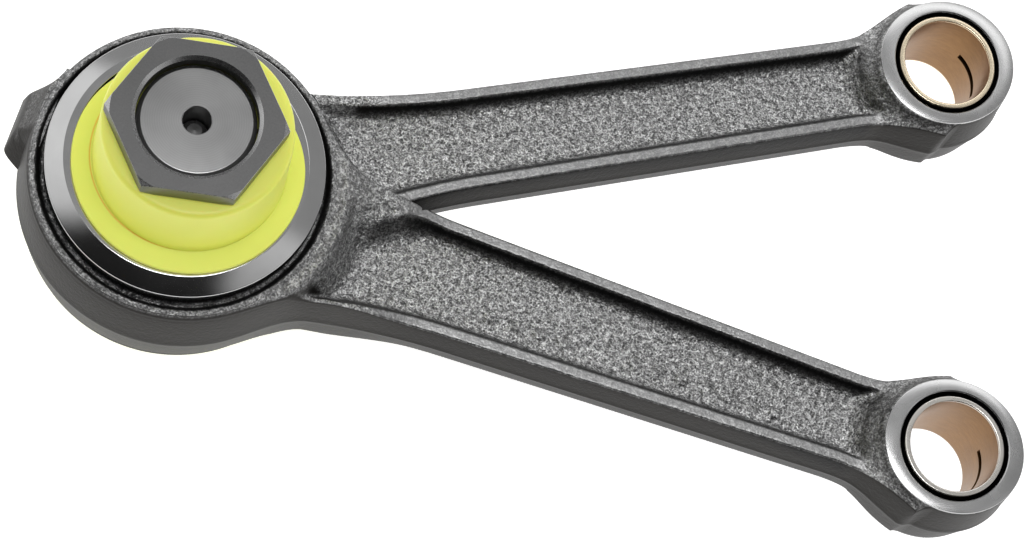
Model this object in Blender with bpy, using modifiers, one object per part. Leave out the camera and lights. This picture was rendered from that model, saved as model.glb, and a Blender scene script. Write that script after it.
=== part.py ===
"""Knife-and-fork connecting rods on one crank pin.

Frame: metres, origin on the crank-pin axis at the rods' mid plane, +Z along the
crank pin towards the lettered side, +X along the fork rod to its wrist pin.
"""

import math

import bmesh
import bpy
from mathutils import Matrix

MM = 0.001

# Driving sizes
CENTRES = 175.9 * MM
REST_ANGLE = math.radians(29.7)
SWING_BACK = math.radians(1.5)
BEAM_HALF_THICK = 7.0 * MM
WEB_HALF_THICK = 3.0 * MM
DRAFT = math.radians(7.0)
PIN_RADIUS = 15.8 * MM
ROLLER_RADIUS = 2.2 * MM
RACE_WALL = 2.7 * MM
FORK_FACE_Z = 20.0 * MM
FORK_EYE_RADIUS = 34.6 * MM
BLADE_EYE_HALF = 8.0 * MM
WRIST_BORE_RADIUS = 10.06 * MM
BUSH_WALL = 1.95 * MM
BOSS_HALF_THICK = 11.9 * MM
NUT_CORNER_RADIUS = 18.75 * MM
NUT_THICK = 4.4 * MM
CAP_HUB_HEIGHT = 20.0 * MM

# Clearances
FIT_GAP = 0.3 * MM
SWING_GAP = 0.5 * MM
CUT_PAST = 2.0 * MM

# Bearing sizes that follow
RACE_INNER = PIN_RADIUS + 2 * ROLLER_RADIUS + 2 * FIT_GAP
RACE_OUTER = RACE_INNER + RACE_WALL
EYE_BORE = RACE_OUTER + FIT_GAP
PITCH_RADIUS = PIN_RADIUS + ROLLER_RADIUS + FIT_GAP
BLADE_EYE_RADIUS = EYE_BORE + 5.7 * MM
SLOT_RADIUS = BLADE_EYE_RADIUS + SWING_GAP
SLOT_HALF = BLADE_EYE_HALF + FIT_GAP
ROLLERS_PER_ROW = 14
CAGE_HALF_WALL = 1.3 * MM
CAGE_RAIL = 1.3 * MM
ROW_END_GAP = 0.4 * MM

# Fork big end
FACE_RING_WIDTH = 1.8 * MM
CHAMFER_WIDTH = 3.8 * MM
CHAMFER_DROP = 2.0 * MM
STEP_DROP = 3.2 * MM
CREST_INSET = 2.1 * MM
CREST_DROP = 4.8 * MM
CREST_ROUND = 2.0 * MM
SLOT_OPEN_ANGLE = math.radians(75.0)
SLOT_REACH = 85.0 * MM

# Beams: half widths at the flange top, and how they flare into the ends
FORK_ROOT_WIDTH = 12.65 * MM
FORK_TIP_WIDTH = 10.5 * MM
BLADE_ROOT_WIDTH = 11.25 * MM
BLADE_TIP_WIDTH = 10.5 * MM
ROOT_FLARE_REACH = 65.0 * MM
ROOT_FLARE_RUN = 36.0 * MM
FORK_ROOT_FLARE = (0.4 * MM, 4.0 * MM)
BLADE_ROOT_FLARE = (3.9 * MM, 3.9 * MM)
FORK_ROOT_SHIFT = -0.7 * MM
BLADE_ROOT_SHIFT = 0.4 * MM
ROOT_WIDENING = 0.3 * MM
SHIFT_REACH = 126.0 * MM
TIP_FLARE_START = 24.0 * MM
TIP_FLARE_RUN = 15.6 * MM
TIP_FLARE = 3.1 * MM
BEAM_START = 22.0 * MM
ROOT_RISE = 5.4 * MM
ROOT_RISE_RUN = 24.0 * MM
TIP_RISE = 4.0 * MM
TIP_RISE_RUN = 8.0 * MM
FLANGE_WIDTH = 2.3 * MM
POCKET_WALL_LEAN = math.radians(20.0)
POCKET_CORNER = 3.5 * MM
POCKET_END_GAP = 18.5 * MM
BLADE_POCKET_START = BLADE_EYE_RADIUS + 4.5 * MM
FORK_POCKET_GAP = 7.0 * MM
FORK_POCKET_SLANT = 11.5 * MM
FORK_POCKET_KNEE = -3.0 * MM

# Small ends
BOSS_ALONG = 15.9 * MM
BOSS_ACROSS = 15.0 * MM
BORE_CHAMFER = 0.2 * MM
OIL_SLOT_ROUND = 10.4 * MM
OIL_SLOT_HIGH = 1.8 * MM

# Balance pad on the fork's big end. Each row: reach out, then the root's and the outer end's two sides across.
PAD_ROOT_X = 31.0 * MM
PAD_PARTING = (38.2 * MM, -9.5 * MM, 11.6 * MM, -4.3 * MM, 8.2 * MM)
PAD_SHOULDER = (36.9 * MM, -7.0 * MM, 10.5 * MM, -1.2 * MM, 7.4 * MM)
PAD_FACE = (33.2 * MM, -4.5 * MM, 8.0 * MM, -1.0 * MM, 5.8 * MM)
PAD_SHOULDER_Z = 6.0 * MM
PAD_FACE_Z = 13.0 * MM

# Crank pin, cap and nut
THREAD_RADIUS = 12.4 * MM
PIN_END_RADIUS = 11.45 * MM
PIN_END_DROP = 2.1 * MM
OIL_HOLE_RADIUS = 2.95 * MM
OIL_HOLE_DEPTH = 14.0 * MM
PLUG_DEPTH = 5.5 * MM
PLUG_LENGTH = 5.0 * MM
CAP_FLANGE_RADIUS = EYE_BORE + 0.5 * MM
CAP_FLANGE_THICK = 0.9 * MM
CAP_HUB_BASE = 20.8 * MM
CAP_HUB_TOP = 19.9 * MM
CAP_ROUND = 2.2 * MM
NUT_BORE_CHAMFER = 0.4 * MM
NUT_FACE_SHARE = 0.94
NUT_CORNER_ANGLE = math.radians(12.0)

CAP_BASE_Z = FORK_FACE_Z + FIT_GAP
CAP_TOP_Z = CAP_BASE_Z + CAP_HUB_HEIGHT
NUT_BASE_Z = CAP_TOP_Z + FIT_GAP
NUT_TOP_Z = NUT_BASE_Z + NUT_THICK
PIN_END_Z = NUT_TOP_Z - PIN_END_DROP
TRACK_HALF = FORK_FACE_Z + 0.5 * MM
TAPER_END_Z = CAP_TOP_Z - 1.5 * MM

STEPS_LARGE = 60
STEPS_MEDIUM = 40
STEPS_SMALL = 14

STEEL_FORGED = (0.30, 0.30, 0.30, 1.0)
STEEL_GROUND = (0.55, 0.55, 0.56, 1.0)
STEEL_DARK = (0.22, 0.22, 0.22, 1.0)
BRONZE = (0.60, 0.42, 0.20, 1.0)
YELLOW = (0.80, 0.84, 0.18, 1.0)


def clear_scene():
    for item in list(bpy.data.objects):
        bpy.data.objects.remove(item, do_unlink=True)


def collection(name):
    made = bpy.data.collections.new(name)
    bpy.context.scene.collection.children.link(made)
    return made


def material(name, colour, metallic, roughness):
    made = bpy.data.materials.new(name)
    made.use_nodes = True
    shader = made.node_tree.nodes["Principled BSDF"]
    shader.inputs["Base Color"].default_value = colour
    shader.inputs["Metallic"].default_value = metallic
    shader.inputs["Roughness"].default_value = roughness
    return made


def placed(name, mesh, group):
    made = bpy.data.objects.new(name, mesh)
    group.objects.link(made)
    return made


def turned(name, profile, group, steps):
    """A closed profile of (radius, height) turned about Z, outer side listed downwards."""
    mesh = bpy.data.meshes.new(name)
    points = [(radius, 0.0, height) for radius, height in profile]
    count = len(points)
    edges = [(i, (i + 1) % count) for i in range(count)]
    mesh.from_pydata(points, edges, [])
    made = placed(name, mesh, group)
    turn = made.modifiers.new("Turn", "SCREW")
    turn.steps = steps
    turn.render_steps = steps
    turn.use_merge_vertices = True
    turn.merge_threshold = 1e-6
    turn.use_smooth_shade = False
    return made


def loft(name, loops, group):
    """Skin over sections that differ in size, each with the same number of corners."""
    shape = bmesh.new()
    rows = [[shape.verts.new(point) for point in loop] for loop in loops]
    count = len(rows[0])
    for low, high in zip(rows, rows[1:]):
        for i in range(count):
            j = (i + 1) % count
            shape.faces.new((low[i], low[j], high[j], high[i]))
    shape.faces.new(list(reversed(rows[0])))
    shape.faces.new(rows[-1])
    bmesh.ops.recalc_face_normals(shape, faces=shape.faces)
    mesh = bpy.data.meshes.new(name)
    shape.to_mesh(mesh)
    shape.free()
    return placed(name, mesh, group)


def block(name, size, centre, group, turn=0.0):
    shape = bmesh.new()
    bmesh.ops.create_cube(shape, size=1.0)
    stretch = Matrix.Diagonal((size[0], size[1], size[2], 1.0))
    spot = Matrix.Rotation(turn, 4, "Z") @ Matrix.Translation(centre)
    shape.transform(spot @ stretch)
    mesh = bpy.data.meshes.new(name)
    shape.to_mesh(mesh)
    shape.free()
    return placed(name, mesh, group)


def combine(target, tool, how):
    """A live Boolean; the tool follows its target and stays hidden."""
    tool.parent = target
    tool.hide_render = True
    tool.display_type = "WIRE"
    step = target.modifiers.new(tool.name, "BOOLEAN")
    step.operation = how
    step.solver = "EXACT"
    step.object = tool


def finish(target, colour, metallic, roughness):
    target.data.materials.append(material(target.name, colour, metallic, roughness))
    for polygon in target.data.polygons:
        polygon.use_smooth = False


def inset(points, distance):
    """A convex outline moved inwards by a distance."""
    out = []
    count = len(points)
    for i in range(count):
        before, here, after = points[i - 1], points[i], points[(i + 1) % count]
        first = math.atan2(here[1] - before[1], here[0] - before[0])
        second = math.atan2(after[1] - here[1], after[0] - here[0])
        n0 = (-math.sin(first), math.cos(first))
        n1 = (-math.sin(second), math.cos(second))
        share = distance / (1.0 + n0[0] * n1[0] + n0[1] * n1[1])
        out.append((here[0] + share * (n0[0] + n1[0]), here[1] + share * (n0[1] + n1[1])))
    return out


def rounded(points, radius, parts=4):
    """A convex outline with every corner turned into an arc."""
    out = []
    count = len(points)
    for i in range(count):
        before, here, after = points[i - 1], points[i], points[(i + 1) % count]
        first = math.atan2(here[1] - before[1], here[0] - before[0])
        second = math.atan2(after[1] - here[1], after[0] - here[0])
        turn = (second - first) % (2 * math.pi)
        back = radius * math.tan(turn / 2)
        start = (here[0] - back * math.cos(first), here[1] - back * math.sin(first))
        centre = (start[0] - radius * math.sin(first), start[1] + radius * math.cos(first))
        for k in range(parts + 1):
            a = first - math.pi / 2 + turn * k / parts
            out.append((centre[0] + radius * math.cos(a), centre[1] + radius * math.sin(a)))
    return out


def oval(along, across, centre_x, parts=40):
    out = []
    for k in range(parts):
        a = 2 * math.pi * k / parts
        out.append((centre_x + along * math.cos(a), across * math.sin(a)))
    return out


def at_height(outline, z):
    return [(x, y, z) for x, y in outline]


def beam_width(x, root, tip, flare):
    """Half width of a beam at its flange top, a distance x out from the crank pin."""
    taper = root + (tip - root) * (x - 60.0 * MM) / (CENTRES - 85.0 * MM)
    at_root = flare * max(0.0, (ROOT_FLARE_REACH - x) / ROOT_FLARE_RUN) ** 2
    from_tip = x - (CENTRES - TIP_FLARE_START)
    at_tip = TIP_FLARE * max(0.0, from_tip / TIP_FLARE_RUN) ** 2
    return taper + at_root + at_tip


def beam_height(x, rise):
    """Half thickness of a beam; it thickens into the fork's big end and both small ends."""
    span = (FORK_EYE_RADIUS + ROOT_RISE_RUN - x) / ROOT_RISE_RUN
    share = min(1.0, max(0.0, span))
    tip = min(1.0, max(0.0, (x - (CENTRES - BOSS_ALONG - TIP_RISE_RUN)) / TIP_RISE_RUN))
    return BEAM_HALF_THICK + rise * share * share * (3 - 2 * share) + TIP_RISE * tip * tip


def beam(name, root, tip, flare, shift, rise, group):
    """The drafted arm; its root may lean to one side of the line of centres."""
    end = CENTRES - 6.0 * MM
    count = 26
    loops = []
    slope = BEAM_HALF_THICK * math.tan(DRAFT)
    for i in range(count + 1):
        x = BEAM_START + (end - BEAM_START) * i / count
        share = min(1.0, (CENTRES - x) / SHIFT_REACH)
        upper = beam_width(x, root, tip, flare[0]) + (ROOT_WIDENING + shift) * share
        lower = -beam_width(x, root, tip, flare[1]) - (ROOT_WIDENING - shift) * share
        high = beam_height(x, rise)
        section = [
            (x, upper + slope, 0.0),
            (x, upper, high),
            (x, lower, high),
            (x, lower - slope, 0.0),
            (x, lower, -high),
            (x, upper, -high),
        ]
        loops.append(section)
    return loft(name, loops, group)


def pocket(name, corners, side, group):
    """A forged web pocket: open at the flange top, walls leaning in to the floor."""
    lean = math.tan(POCKET_WALL_LEAN)
    open_z = FORK_FACE_Z
    wide = rounded(inset(corners, -(open_z - BEAM_HALF_THICK) * lean), POCKET_CORNER)
    floor = rounded(inset(corners, (BEAM_HALF_THICK - WEB_HALF_THICK) * lean), POCKET_CORNER)
    loops = [at_height(floor, side * WEB_HALF_THICK), at_height(wide, side * open_z)]
    return loft(name, loops, group)


def drilled(name, radius, low, high, chamfer, group, steps, x=0.0):
    """A bore cutter with a chamfer where it meets each face."""
    past = CUT_PAST
    profile = [
        (0.0, high + past),
        (radius + chamfer + past, high + past),
        (radius, high - chamfer),
        (radius, low + chamfer),
        (radius + chamfer + past, low - past),
        (0.0, low - past),
    ]
    made = turned(name, profile, group, steps)
    made.location.x = x
    return made


def small_end(prefix, rod, cutters):
    """The boss round the wrist pin, and its bore."""
    grow = BOSS_HALF_THICK * math.tan(DRAFT)
    face = oval(BOSS_ALONG, BOSS_ACROSS, CENTRES)
    parting = oval(BOSS_ALONG + grow, BOSS_ACROSS + grow, CENTRES)
    loops = [
        at_height(face, -BOSS_HALF_THICK),
        at_height(parting, 0.0),
        at_height(face, BOSS_HALF_THICK),
    ]
    combine(rod, loft(prefix + "_boss", loops, cutters), "UNION")
    bore = drilled(
        prefix + "_wrist_bore",
        WRIST_BORE_RADIUS + BUSH_WALL + FIT_GAP,
        -BOSS_HALF_THICK,
        BOSS_HALF_THICK,
        BORE_CHAMFER,
        cutters,
        STEPS_MEDIUM,
        CENTRES,
    )
    combine(rod, bore, "DIFFERENCE")


def slot_outline():
    """The opening the blade rod swings in: its eye's circle, and out to the free side."""
    least = REST_ANGLE - SWING_BACK
    grow = BEAM_HALF_THICK * math.tan(DRAFT) + SWING_GAP
    points = []
    steps = 22
    far = 95.0 * MM
    for i in range(steps + 1):
        x = far + (BEAM_START - far) * i / steps
        y = -beam_width(x, BLADE_ROOT_WIDTH, BLADE_TIP_WIDTH, BLADE_ROOT_FLARE[1]) - grow
        if math.hypot(x, y) < SLOT_RADIUS + SWING_GAP:
            break
        points.append(
            (x * math.cos(least) - y * math.sin(least), x * math.sin(least) + y * math.cos(least))
        )
    start = math.atan2(points[-1][1], points[-1][0]) - math.radians(1.5)
    end = SLOT_OPEN_ANGLE + math.pi / 2 - 2 * math.pi
    parts = 34
    for k in range(parts + 1):
        a = start + (end - start) * k / parts
        points.append((SLOT_RADIUS * math.cos(a), SLOT_RADIUS * math.sin(a)))
    last = points[-1]
    reach_x = SLOT_REACH * math.cos(SLOT_OPEN_ANGLE)
    reach_y = SLOT_REACH * math.sin(SLOT_OPEN_ANGLE)
    points.append((last[0] + reach_x, last[1] + reach_y))
    return list(reversed(points))


def prism(name, outline, low, high, group):
    """A flat curve filled and extruded, then made a mesh."""
    curve = bpy.data.curves.new(name, "CURVE")
    curve.dimensions = "2D"
    curve.fill_mode = "BOTH"
    curve.extrude = (high - low) / 2
    line = curve.splines.new("POLY")
    line.points.add(len(outline) - 1)
    for spot, (x, y) in zip(line.points, outline):
        spot.co = (x, y, 0.0, 1.0)
    line.use_cyclic_u = True
    drawn = placed(name + "_curve", curve, group)
    bpy.context.view_layer.update()
    seen = drawn.evaluated_get(bpy.context.evaluated_depsgraph_get())
    mesh = bpy.data.meshes.new_from_object(seen)
    mesh.name = name
    bpy.data.objects.remove(drawn, do_unlink=True)
    shape = bmesh.new()
    shape.from_mesh(mesh)
    bmesh.ops.remove_doubles(shape, verts=shape.verts, dist=1e-6)
    bmesh.ops.recalc_face_normals(shape, faces=shape.faces)
    shape.to_mesh(mesh)
    shape.free()
    mesh.materials.clear()
    made = placed(name, mesh, group)
    made.location.z = (high + low) / 2
    return made


def pad_outline(reach, root_low, root_high, outer_low, outer_high):
    return [
        (-PAD_ROOT_X, root_high),
        (-reach, outer_high),
        (-reach, outer_low),
        (-PAD_ROOT_X, root_low),
    ]


def fork_rod(parts, cutters):
    face_out = EYE_BORE + FACE_RING_WIDTH
    chamfer_out = face_out + CHAMFER_WIDTH
    chamfer_z = FORK_FACE_Z - CHAMFER_DROP
    groove_z = chamfer_z - STEP_DROP
    crest_z = FORK_FACE_Z - CREST_DROP
    crest_out = FORK_EYE_RADIUS - CREST_INSET
    half = [
        (EYE_BORE, FORK_FACE_Z),
        (face_out, FORK_FACE_Z),
        (chamfer_out, chamfer_z),
        (chamfer_out + 0.1 * MM, groove_z),
        (chamfer_out + 0.9 * MM, crest_z),
        (crest_out - CREST_ROUND, crest_z),
        (crest_out, crest_z - CREST_ROUND),
        (FORK_EYE_RADIUS, 0.0),
    ]
    profile = half + [(r, -z) for r, z in reversed(half[:-1])]
    rod = turned("fork_rod", profile, parts, STEPS_LARGE)
    arm = beam(
        "fork_beam",
        FORK_ROOT_WIDTH,
        FORK_TIP_WIDTH,
        FORK_ROOT_FLARE,
        FORK_ROOT_SHIFT,
        ROOT_RISE,
        cutters,
    )
    combine(rod, arm, "UNION")
    heights = [
        (-PAD_FACE_Z, PAD_FACE),
        (-PAD_SHOULDER_Z, PAD_SHOULDER),
        (0.0, PAD_PARTING),
        (PAD_SHOULDER_Z, PAD_SHOULDER),
        (PAD_FACE_Z, PAD_FACE),
    ]
    loops = [at_height(pad_outline(*sizes), z) for z, sizes in heights]
    combine(rod, loft("fork_balance_pad", loops, cutters), "UNION")
    small_end("fork", rod, cutters)
    slot = prism("fork_slot", slot_outline(), -SLOT_HALF, SLOT_HALF, cutters)
    combine(rod, slot, "DIFFERENCE")
    start = SLOT_RADIUS + FORK_POCKET_GAP
    end = CENTRES - POCKET_END_GAP
    root_y = FORK_ROOT_WIDTH - FLANGE_WIDTH
    tip_y = FORK_TIP_WIDTH - FLANGE_WIDTH
    corners = [
        (start, -root_y),
        (end, -tip_y),
        (end, tip_y),
        (start + FORK_POCKET_SLANT, root_y),
        (start, FORK_POCKET_KNEE),
    ]
    combine(rod, pocket("fork_pocket_upper", corners, 1.0, cutters), "DIFFERENCE")
    combine(rod, pocket("fork_pocket_lower", corners, -1.0, cutters), "DIFFERENCE")
    bore = drilled("fork_bore", EYE_BORE, -FORK_FACE_Z, FORK_FACE_Z, 0.0, cutters, STEPS_LARGE)
    bore_cut = bore
    combine(rod, bore_cut, "DIFFERENCE")
    finish(rod, STEEL_FORGED, 0.9, 0.45)
    return rod


def blade_rod(parts, cutters):
    half = BLADE_EYE_HALF
    edge = 0.6 * MM
    profile = [
        (EYE_BORE, half),
        (BLADE_EYE_RADIUS - edge, half),
        (BLADE_EYE_RADIUS, half - edge),
        (BLADE_EYE_RADIUS, edge - half),
        (BLADE_EYE_RADIUS - edge, -half),
        (EYE_BORE, -half),
    ]
    rod = turned("blade_rod", profile, parts, STEPS_LARGE)
    arm = beam(
        "blade_beam",
        BLADE_ROOT_WIDTH,
        BLADE_TIP_WIDTH,
        BLADE_ROOT_FLARE,
        BLADE_ROOT_SHIFT,
        0.0,
        cutters,
    )
    combine(rod, arm, "UNION")
    small_end("blade", rod, cutters)
    end = CENTRES - POCKET_END_GAP
    root_y = BLADE_ROOT_WIDTH - FLANGE_WIDTH
    tip_y = BLADE_TIP_WIDTH - FLANGE_WIDTH
    start = BLADE_POCKET_START
    corners = [(start, -root_y), (end, -tip_y), (end, tip_y), (start, root_y)]
    combine(rod, pocket("blade_pocket_upper", corners, 1.0, cutters), "DIFFERENCE")
    combine(rod, pocket("blade_pocket_lower", corners, -1.0, cutters), "DIFFERENCE")
    bore = drilled("blade_bore", EYE_BORE, -half, half, 0.0, cutters, STEPS_LARGE)
    combine(rod, bore, "DIFFERENCE")
    rod.rotation_euler.z = REST_ANGLE
    finish(rod, STEEL_FORGED, 0.9, 0.45)
    return rod


def wrist_bush(name, turn, parts, cutters):
    inner = WRIST_BORE_RADIUS
    outer = inner + BUSH_WALL
    high = BOSS_HALF_THICK
    edge = 0.5 * MM
    half = [(inner, high - edge), (inner + edge, high), (outer - edge, high), (outer, high - edge)]
    profile = half + [(r, -z) for r, z in reversed(half)]
    bush = turned(name, profile, parts, STEPS_MEDIUM)
    bush.location = (CENTRES * math.cos(turn), CENTRES * math.sin(turn), 0.0)
    bush.rotation_euler.z = turn
    size = (BUSH_WALL * 4, OIL_SLOT_ROUND, OIL_SLOT_HIGH)
    slot = block(name + "_oil_slot", size, (inner + BUSH_WALL, 0.0, 0.0), cutters)
    combine(bush, slot, "DIFFERENCE")
    finish(bush, BRONZE, 0.9, 0.35)
    return bush


def race(name, low, high, parts, turn=0.0):
    profile = [(RACE_INNER, high), (RACE_OUTER, high), (RACE_OUTER, low), (RACE_INNER, low)]
    made = turned(name, profile, parts, STEPS_LARGE)
    made.rotation_euler.z = turn
    finish(made, STEEL_GROUND, 1.0, 0.2)
    return made


def roller_row(row, low, high, parts, cutters):
    """One cage with a pocket for each roller, and the rollers."""
    middle = (low + high) / 2
    length = high - low
    pocket_long = length - 2 * CAGE_RAIL
    profile = [
        (PITCH_RADIUS - CAGE_HALF_WALL, length / 2),
        (PITCH_RADIUS + CAGE_HALF_WALL, length / 2),
        (PITCH_RADIUS + CAGE_HALF_WALL, -length / 2),
        (PITCH_RADIUS - CAGE_HALF_WALL, -length / 2),
    ]
    cage = turned("roller_cage_" + row, profile, parts, 56)
    cage.location.z = middle
    holes = bmesh.new()
    wide = 2 * (ROLLER_RADIUS + FIT_GAP)
    stretch = Matrix.Diagonal((PIN_RADIUS * 0.5, wide, pocket_long, 1.0))
    for k in range(ROLLERS_PER_ROW):
        spot = Matrix.Rotation(2 * math.pi * k / ROLLERS_PER_ROW, 4, "Z")
        out = Matrix.Translation((PITCH_RADIUS, 0.0, 0.0))
        bmesh.ops.create_cube(holes, size=1.0, matrix=spot @ out @ stretch)
    mesh = bpy.data.meshes.new("cage_pockets_" + row)
    holes.to_mesh(mesh)
    holes.free()
    combine(cage, placed("cage_pockets_" + row, mesh, cutters), "DIFFERENCE")
    finish(cage, STEEL_DARK, 0.9, 0.4)
    roller_half = pocket_long / 2 - FIT_GAP
    edge = 0.3 * MM
    side = [
        (0.0, roller_half),
        (ROLLER_RADIUS - edge, roller_half),
        (ROLLER_RADIUS, roller_half - edge),
        (ROLLER_RADIUS, edge - roller_half),
        (ROLLER_RADIUS - edge, -roller_half),
        (0.0, -roller_half),
    ]
    for k in range(ROLLERS_PER_ROW):
        name = "roller_%s_%02d" % (row, k + 1)
        angle = 2 * math.pi * k / ROLLERS_PER_ROW
        made = turned(name, side, parts, STEPS_SMALL)
        made.location = (PITCH_RADIUS * math.cos(angle), PITCH_RADIUS * math.sin(angle), middle)
        finish(made, STEEL_GROUND, 1.0, 0.15)


def crank_pin(parts, cutters):
    edge = PIN_END_Z - (THREAD_RADIUS - PIN_END_RADIUS)
    half = [
        (0.0, PIN_END_Z),
        (PIN_END_RADIUS, PIN_END_Z),
        (THREAD_RADIUS, edge),
        (THREAD_RADIUS, TAPER_END_Z),
        (PIN_RADIUS - 0.5 * MM, TRACK_HALF),
        (PIN_RADIUS, TRACK_HALF - 0.5 * MM),
    ]
    profile = half + [(r, -z) for r, z in reversed(half)]
    pin = turned("crank_pin", profile, parts, STEPS_MEDIUM)
    low = PIN_END_Z - OIL_HOLE_DEPTH
    high = PIN_END_Z + CUT_PAST
    drill = [(0.0, high), (OIL_HOLE_RADIUS, high), (OIL_HOLE_RADIUS, low), (0.0, low - 1.5 * MM)]
    combine(pin, turned("oil_drilling", drill, cutters, STEPS_SMALL + 6), "DIFFERENCE")
    finish(pin, STEEL_GROUND, 1.0, 0.25)
    top = PIN_END_Z - PLUG_DEPTH
    outer = OIL_HOLE_RADIUS - FIT_GAP
    plug_side = [
        (0.0, top),
        (outer * 0.6, top - 0.4 * MM),
        (outer, top - 1.4 * MM),
        (outer, top - PLUG_LENGTH),
        (0.0, top - PLUG_LENGTH),
    ]
    finish(turned("oil_plug", plug_side, parts, STEPS_SMALL + 2), STEEL_GROUND, 0.9, 0.4)


def cap(name, flip, parts):
    """Plastic cap: a flange over the bearing and a hub that carries the nut."""
    flange_z = CAP_BASE_Z + CAP_FLANGE_THICK
    inner_low = PIN_RADIUS + FIT_GAP
    inner_high = THREAD_RADIUS + FIT_GAP
    bend = CAP_ROUND * 0.3
    profile = [
        (inner_high, CAP_TOP_Z),
        (CAP_HUB_TOP - CAP_ROUND, CAP_TOP_Z),
        (CAP_HUB_TOP - bend, CAP_TOP_Z - bend),
        (CAP_HUB_TOP, CAP_TOP_Z - CAP_ROUND),
        (CAP_HUB_BASE, flange_z),
        (CAP_FLANGE_RADIUS - 0.3 * MM, flange_z),
        (CAP_FLANGE_RADIUS, flange_z - 0.3 * MM),
        (CAP_FLANGE_RADIUS, CAP_BASE_Z),
        (inner_low, CAP_BASE_Z),
        (inner_low, TRACK_HALF + FIT_GAP),
        (inner_high, TAPER_END_Z + FIT_GAP),
    ]
    made = turned(name, profile, parts, STEPS_LARGE)
    made.rotation_euler.x = flip
    finish(made, YELLOW, 0.0, 0.45)


def nut(name, flip, parts, cutters):
    """Thin hexagon nut, both faces chamfered to a circle."""
    shape = bmesh.new()
    bmesh.ops.create_cone(
        shape,
        cap_ends=True,
        segments=6,
        radius1=NUT_CORNER_RADIUS,
        radius2=NUT_CORNER_RADIUS,
        depth=NUT_THICK,
        matrix=Matrix.Rotation(NUT_CORNER_ANGLE, 4, "Z"),
    )
    shape.transform(Matrix.Translation((0.0, 0.0, (NUT_BASE_Z + NUT_TOP_Z) / 2)))
    mesh = bpy.data.meshes.new(name)
    shape.to_mesh(mesh)
    shape.free()
    made = placed(name, mesh, parts)
    face = NUT_CORNER_RADIUS * NUT_FACE_SHARE
    past = NUT_CORNER_RADIUS * 1.1
    fall = (past - face) * math.tan(math.radians(25.0))
    envelope = [
        (0.0, NUT_TOP_Z + CUT_PAST),
        (face - CUT_PAST / math.tan(math.radians(25.0)), NUT_TOP_Z + CUT_PAST),
        (past, NUT_TOP_Z - fall),
        (past, NUT_BASE_Z + fall),
        (face - CUT_PAST / math.tan(math.radians(25.0)), NUT_BASE_Z - CUT_PAST),
        (0.0, NUT_BASE_Z - CUT_PAST),
    ]
    combine(made, turned(name + "_chamfer", envelope, cutters, 48), "INTERSECT")
    bore = drilled(
        name + "_bore",
        THREAD_RADIUS + FIT_GAP,
        NUT_BASE_Z,
        NUT_TOP_Z,
        NUT_BORE_CHAMFER,
        cutters,
        STEPS_MEDIUM,
    )
    combine(made, bore, "DIFFERENCE")
    made.rotation_euler.x = flip
    finish(made, STEEL_DARK, 0.9, 0.4)


def build():
    clear_scene()
    parts = collection("connecting_rod_set")
    cutters = collection("cutters")
    fork_rod(parts, cutters)
    blade_rod(parts, cutters)
    wrist_bush("fork_wrist_bush", 0.0, parts, cutters)
    wrist_bush("blade_wrist_bush", REST_ANGLE, parts, cutters)
    cheek_low = SLOT_HALF + ROW_END_GAP / 2
    cheek_high = FORK_FACE_Z - ROW_END_GAP / 2
    race("fork_race_upper", cheek_low, cheek_high, parts)
    race("fork_race_lower", -cheek_high, -cheek_low, parts)
    race("blade_race", -BLADE_EYE_HALF, BLADE_EYE_HALF, parts, REST_ANGLE)
    roller_row("upper", cheek_low + ROW_END_GAP, cheek_high, parts, cutters)
    roller_row("middle", ROW_END_GAP - BLADE_EYE_HALF, BLADE_EYE_HALF - ROW_END_GAP, parts, cutters)
    roller_row("lower", -cheek_high, -cheek_low - ROW_END_GAP, parts, cutters)
    crank_pin(parts, cutters)
    cap("shipping_cap_upper", 0.0, parts)
    cap("shipping_cap_lower", math.pi, parts)
    nut("crank_pin_nut_upper", 0.0, parts, cutters)
    nut("crank_pin_nut_lower", math.pi, parts, cutters)
    bpy.context.view_layer.update()


build()
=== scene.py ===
"""Looks for the connecting rod set: two forged rods, their bushes, the crank pin, its nuts and caps.

Shapes are worked out in millimetres with numpy and put into meshes in metres.
"""

import math

import bpy
import numpy as np
from mathutils import Matrix


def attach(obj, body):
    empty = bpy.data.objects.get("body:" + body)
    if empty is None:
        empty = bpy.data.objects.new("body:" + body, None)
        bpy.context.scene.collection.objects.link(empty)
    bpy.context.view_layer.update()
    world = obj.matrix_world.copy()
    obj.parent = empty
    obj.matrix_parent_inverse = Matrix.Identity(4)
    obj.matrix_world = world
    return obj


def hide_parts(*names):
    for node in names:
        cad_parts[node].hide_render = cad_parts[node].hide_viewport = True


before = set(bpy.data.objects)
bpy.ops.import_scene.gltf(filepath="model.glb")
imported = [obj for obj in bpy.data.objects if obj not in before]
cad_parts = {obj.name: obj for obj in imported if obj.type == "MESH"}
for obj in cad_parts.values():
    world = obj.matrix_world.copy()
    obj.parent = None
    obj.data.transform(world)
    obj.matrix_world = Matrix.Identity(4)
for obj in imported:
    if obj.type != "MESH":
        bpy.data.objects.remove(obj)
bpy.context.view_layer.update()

MM = 0.001
CENTRES = 175.9
REST = math.radians(29.7)
SLOT_HALF = 8.3
SLOT_RADIUS = 30.0
SLOT_GAP = 1.7
SWING_BACK = math.radians(1.5)
EYE_BORE = 23.8
BEAM_HALF = 7.0
WEB_HALF = 3.0
BOSS_HALF = 11.9
ROD_BORE = 12.31
NUT_BASE = 40.6
NUT_TOP = 45.0
NUT_CORNER = 18.75
NUT_TURN = math.radians(12.0)
NUT_CUT = math.radians(25.0)
NUT_BORE = 12.48
NUT_MOUTH = 13.15
CAP_BASE = 20.3
CAP_BORE = 16.1
CAP_MOUTH = 13.5
CAP_FLANGE = 24.4
CAP_FLANGE_TOP = 21.2
CAP_FOOT = 20.3
CAP_TOP = 40.3
CAP_SHIFT = 0.6
CAP_FLATTENED = 0.92
PIN_TRACK = 15.8
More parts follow.
